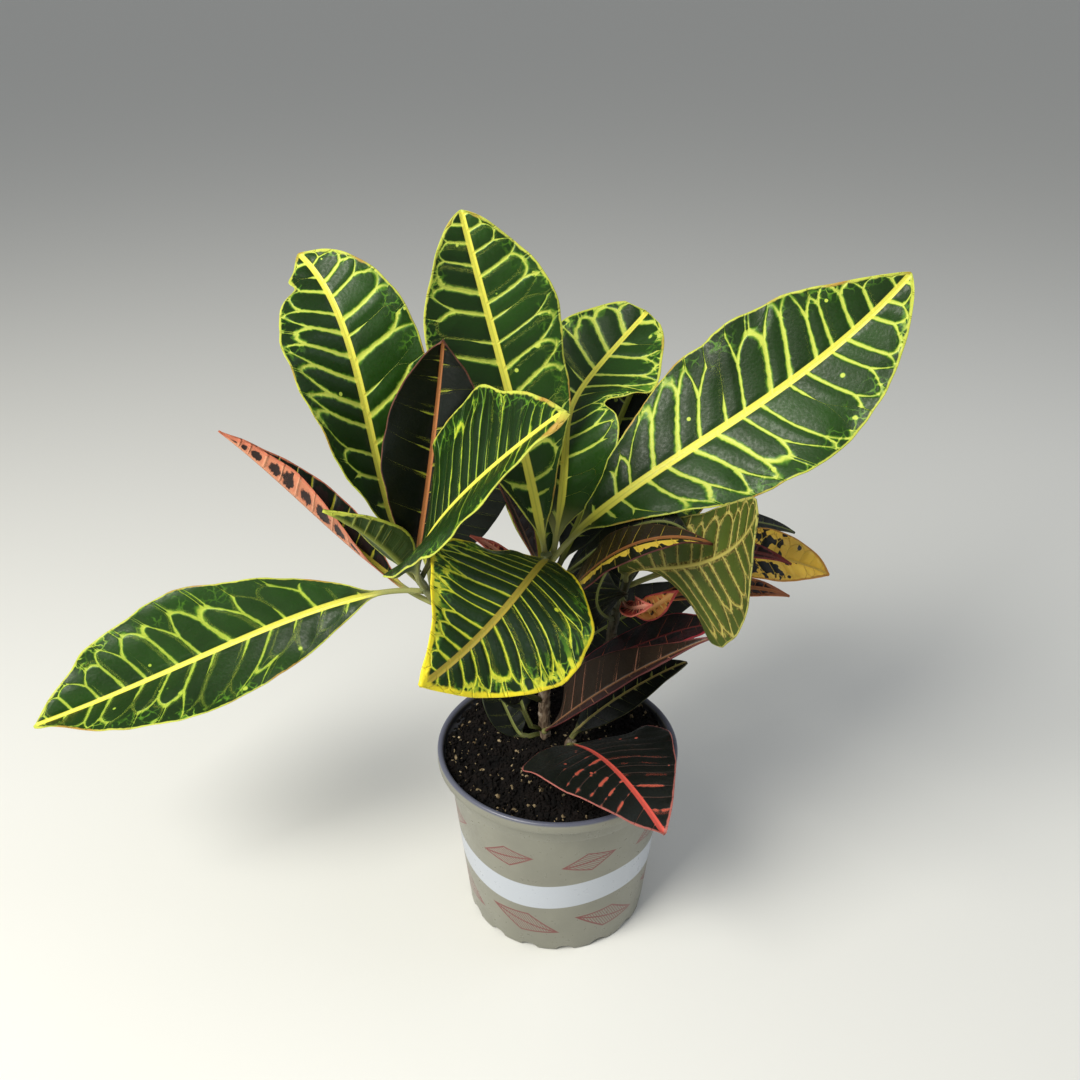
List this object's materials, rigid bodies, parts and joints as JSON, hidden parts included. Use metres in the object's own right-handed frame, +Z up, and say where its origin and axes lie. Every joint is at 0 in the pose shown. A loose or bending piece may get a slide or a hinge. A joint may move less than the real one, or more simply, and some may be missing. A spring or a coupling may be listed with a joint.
{
  "type": "potted croton",
  "caption": "Croton with broad leaves in green, yellow, black, purple and coral, growing in a thin printed plastic grow pot filled with soil.",
  "frame": {"origin": "centre of the pot's foot, on the table", "axes": "+Z up, +Y away from the viewer of the picture, X along the spread of the leaves, which is the longest side"},
  "size_m": [0.4284, 0.2179, 0.3792],
  "materials": {
    "pot_plastic": "thin moulded olive-grey plastic, soft sheen, with a printed band",
    "soil": "dark loose potting mix with pale grit",
    "bark": "matte grey-brown bark with leaf scars",
    "leaf_green": "glossy deep green with yellow midrib, veins and margin",
    "leaf_dark": "glossy near-black with a coloured midrib",
    "leaf_purple": "semi-gloss dark purple with a red margin",
    "leaf_brown": "semi-gloss olive brown with an orange midrib",
    "leaf_pink": "salmon pink underside with dark oval blotches",
    "leaf_olive": "matte olive underside with raised pale veins",
    "leaf_yellow": "golden yellow with black blotches",
    "leaf_red": "bright red young leaf"
  },
  "bodies": {
    "root": {"pot": "pot_plastic", "soil": "soil", "stem_centre": "bark", "stem_left": "bark", "stem_right": "bark", "stem_front": "bark", "leaf_upper_left": "leaf_green", "leaf_top_centre": "leaf_green", "leaf_waisted": "leaf_green", "leaf_big_right": "leaf_green", "leaf_front": "leaf_green", "leaf_long_left": "leaf_green", "leaf_folded_pink": "leaf_pink", "leaf_small_curled": "leaf_olive", "leaf_raised_front": "leaf_green", "leaf_black_orange": "leaf_dark", "leaf_dark_behind": "leaf_dark", "leaf_thin_brown": "leaf_brown", "leaf_arched_brown": "leaf_brown", "leaf_olive_under": "leaf_olive", "leaf_yellow_spotted": "leaf_yellow", "leaf_far_green": "leaf_green", "leaf_red_spike": "leaf_purple", "leaf_orange_end": "leaf_dark", "leaf_purple_upper": "leaf_purple", "leaf_purple_lower": "leaf_purple", "leaf_dark_rib": "leaf_dark", "leaf_black_coral": "leaf_dark", "leaf_dark_at_soil": "leaf_dark", "leaf_young_orange": "leaf_yellow", "leaf_young_red": "leaf_red", "leaf_dark_between": "leaf_dark", "leaf_young_crimson": "leaf_red", "leaf_low_left": "leaf_dark", "leaf_low_front": "leaf_dark", "leaf_inner_front": "leaf_dark", "leaf_inner_low": "leaf_dark", "leaf_dark_over": "leaf_dark", "leaf_back_centre": "leaf_green", "leaf_back_right": "leaf_green", "leaf_back_left": "leaf_green", "leaf_back_low_left": "leaf_dark", "leaf_back_low_right": "leaf_purple", "leaf_back_middle": "leaf_dark"}
  },
  "joints": []
}
